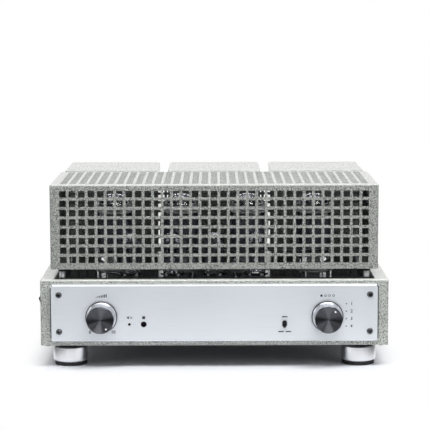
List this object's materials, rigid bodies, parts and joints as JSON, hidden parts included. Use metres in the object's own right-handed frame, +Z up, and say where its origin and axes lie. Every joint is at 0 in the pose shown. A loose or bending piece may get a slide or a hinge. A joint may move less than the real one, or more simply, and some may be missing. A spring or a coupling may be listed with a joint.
{
  "type": "tube integrated amplifier",
  "caption": "Tube integrated amplifier: hammertone steel chassis, brushed front panel with knobs, perforated lift-off tube cage and transformer covers behind it.",
  "frame": {"origin": "on the floor, under the middle of the overall width and depth", "axes": "+X to the right seen from the front, +Y towards the rear, +Z up"},
  "size_m": [0.4046, 0.335, 0.2122],
  "materials": {
    "hammertone": "speckled paint",
    "dark_paint": "matt paint",
    "black_paint": "gloss paint",
    "brushed_panel": "brushed along its length",
    "chrome": "polished",
    "black_screws": "black oxide",
    "foot_metal": "fine turned",
    "rubber": "matt",
    "black_plastic": "satin",
    "core_iron": "varnished",
    "coil_copper": "varnished",
    "tube_base": "satin",
    "tube_glass": "clear",
    "socket_plastic": "gloss",
    "knob_metal": "spun",
    "shaft_steel": "turned",
    "control_metal": "plated",
    "control_plastic": "matt",
    "lamp_lens": "clear red",
    "window_lens": "dark gloss",
    "gold_plate": "polished",
    "cap_black": "clear over black",
    "cap_red": "clear red",
    "board": "matt",
    "capacitor_sleeve": "gloss"
  },
  "bodies": {
    "amplifier": {"chassis": "hammertone", "rear_panel": "hammertone", "bottom_plate": "dark_paint", "deck_plate": "black_paint", "front_panel": "brushed_panel", "panel_screws": "chrome", "case_screws": "black_screws", "feet": "foot_metal", "foot_collars": "rubber", "foot_pads": "rubber", "cage_posts": "chrome", "left_output_cover": "hammertone", "power_supply_cover": "hammertone", "right_output_cover": "hammertone", "transformer_cores": "core_iron", "transformer_coils": "coil_copper", "power_sockets": "socket_plastic", "small_sockets": "socket_plastic", "volume_control": "control_metal", "selector_switch": "control_plastic", "control_nuts": "shaft_steel", "mode_switch": "control_plastic", "power_switch": "black_plastic", "mute_lamp": "lamp_lens", "remote_window": "window_lens", "mains_inlet": "black_plastic", "speaker_posts": "gold_plate", "input_jacks": "gold_plate", "circuit_boards": "board", "filter_capacitors": "capacitor_sleeve"},
    "volume": {"volume_knob": "knob_metal", "volume_shaft": "shaft_steel"},
    "selector": {"selector_knob": "knob_metal", "selector_shaft": "shaft_steel"},
    "mode": {"mode_lever": "black_plastic"},
    "rocker": {"power_rocker": "black_plastic"},
    "cage": {"cage_front": "hammertone", "cage_top": "hammertone", "cage_walls": "hammertone", "cage_lip": "hammertone", "cage_pins": "black_plastic"},
    "power_tube_1": {"power_tube_1_base": "tube_base", "power_tube_1_glass": "tube_glass"},
    "power_tube_2": {"power_tube_2_base": "tube_base", "power_tube_2_glass": "tube_glass"},
    "power_tube_3": {"power_tube_3_base": "tube_base", "power_tube_3_glass": "tube_glass"},
    "power_tube_4": {"power_tube_4_base": "tube_base", "power_tube_4_glass": "tube_glass"},
    "small_tube_1": {"small_tube_1": "tube_glass"},
    "small_tube_2": {"small_tube_2": "tube_glass"},
    "small_tube_3": {"small_tube_3": "tube_glass"},
    "small_tube_4": {"small_tube_4": "tube_glass"},
    "cap_1": {"speaker_cap_1": "cap_black"},
    "cap_2": {"speaker_cap_2": "cap_red"},
    "cap_3": {"speaker_cap_3": "cap_red"},
    "cap_4": {"speaker_cap_4": "cap_black"},
    "cap_5": {"speaker_cap_5": "cap_red"},
    "cap_6": {"speaker_cap_6": "cap_red"},
    "drawer": {"fuse_drawer": "black_plastic"}
  },
  "joints": [
    {"name": "volume_turn", "type": "hinge", "parent": "amplifier", "child": "volume", "pos_m": [-0.1293, -0.156, 0.0621], "axis": [0, 1, 0], "range_deg": [-298, 2]},
    {"name": "selector_turn", "type": "hinge", "parent": "amplifier", "child": "selector", "pos_m": [0.1293, -0.156, 0.0621], "axis": [0, 1, 0], "range_deg": [0, 90]},
    {"name": "mode_flip", "type": "hinge", "parent": "amplifier", "child": "mode", "pos_m": [0.0805, -0.1415, 0.0531], "axis": [1, 0, 0], "range_deg": [0, 24]},
    {"name": "power_rock", "type": "hinge", "parent": "amplifier", "child": "rocker", "pos_m": [-0.2, -0.1045, 0.071], "axis": [0, 1, 0], "range_deg": [0, 20]},
    {"name": "cage_lift", "type": "slide", "parent": "amplifier", "child": "cage", "axis": [0, 0, 1], "range_m": [0, 0.12]},
    {"name": "power_tube_1_pull", "type": "slide", "parent": "amplifier", "child": "power_tube_1", "axis": [0, 0, 1], "range_m": [0, 0.013]},
    {"name": "power_tube_2_pull", "type": "slide", "parent": "amplifier", "child": "power_tube_2", "axis": [0, 0, 1], "range_m": [0, 0.013]},
    {"name": "power_tube_3_pull", "type": "slide", "parent": "amplifier", "child": "power_tube_3", "axis": [0, 0, 1], "range_m": [0, 0.013]},
    {"name": "power_tube_4_pull", "type": "slide", "parent": "amplifier", "child": "power_tube_4", "axis": [0, 0, 1], "range_m": [0, 0.013]},
    {"name": "small_tube_1_pull", "type": "slide", "parent": "amplifier", "child": "small_tube_1", "axis": [0, 0, 1], "range_m": [0, 0.03]},
    {"name": "small_tube_2_pull", "type": "slide", "parent": "amplifier", "child": "small_tube_2", "axis": [0, 0, 1], "range_m": [0, 0.03]},
    {"name": "small_tube_3_pull", "type": "slide", "parent": "amplifier", "child": "small_tube_3", "axis": [0, 0, 1], "range_m": [0, 0.03]},
    {"name": "small_tube_4_pull", "type": "slide", "parent": "amplifier", "child": "small_tube_4", "axis": [0, 0, 1], "range_m": [0, 0.03]},
    {"name": "speaker_cap_1_turn", "type": "hinge", "parent": "amplifier", "child": "cap_1", "pos_m": [-0.112, 0.159, 0.0654], "axis": [0, 1, 0], "range_deg": [0, 1440]},
    {"name": "speaker_cap_2_turn", "type": "hinge", "parent": "amplifier", "child": "cap_2", "pos_m": [-0.09, 0.159, 0.0654], "axis": [0, 1, 0], "range_deg": [0, 1440]},
    {"name": "speaker_cap_3_turn", "type": "hinge", "parent": "amplifier", "child": "cap_3", "pos_m": [-0.068, 0.159, 0.0654], "axis": [0, 1, 0], "range_deg": [0, 1440]},
    {"name": "speaker_cap_4_turn", "type": "hinge", "parent": "amplifier", "child": "cap_4", "pos_m": [-0.034, 0.159, 0.0654], "axis": [0, 1, 0], "range_deg": [0, 1440]},
    {"name": "speaker_cap_5_turn", "type": "hinge", "parent": "amplifier", "child": "cap_5", "pos_m": [-0.012, 0.159, 0.0654], "axis": [0, 1, 0], "range_deg": [0, 1440]},
    {"name": "speaker_cap_6_turn", "type": "hinge", "parent": "amplifier", "child": "cap_6", "pos_m": [0.01, 0.159, 0.0654], "axis": [0, 1, 0], "range_deg": [0, 1440]},
    {"name": "fuse_drawer_slide", "type": "slide", "parent": "amplifier", "child": "drawer", "axis": [0, 1, 0], "range_m": [0, 0.024]}
  ]
}
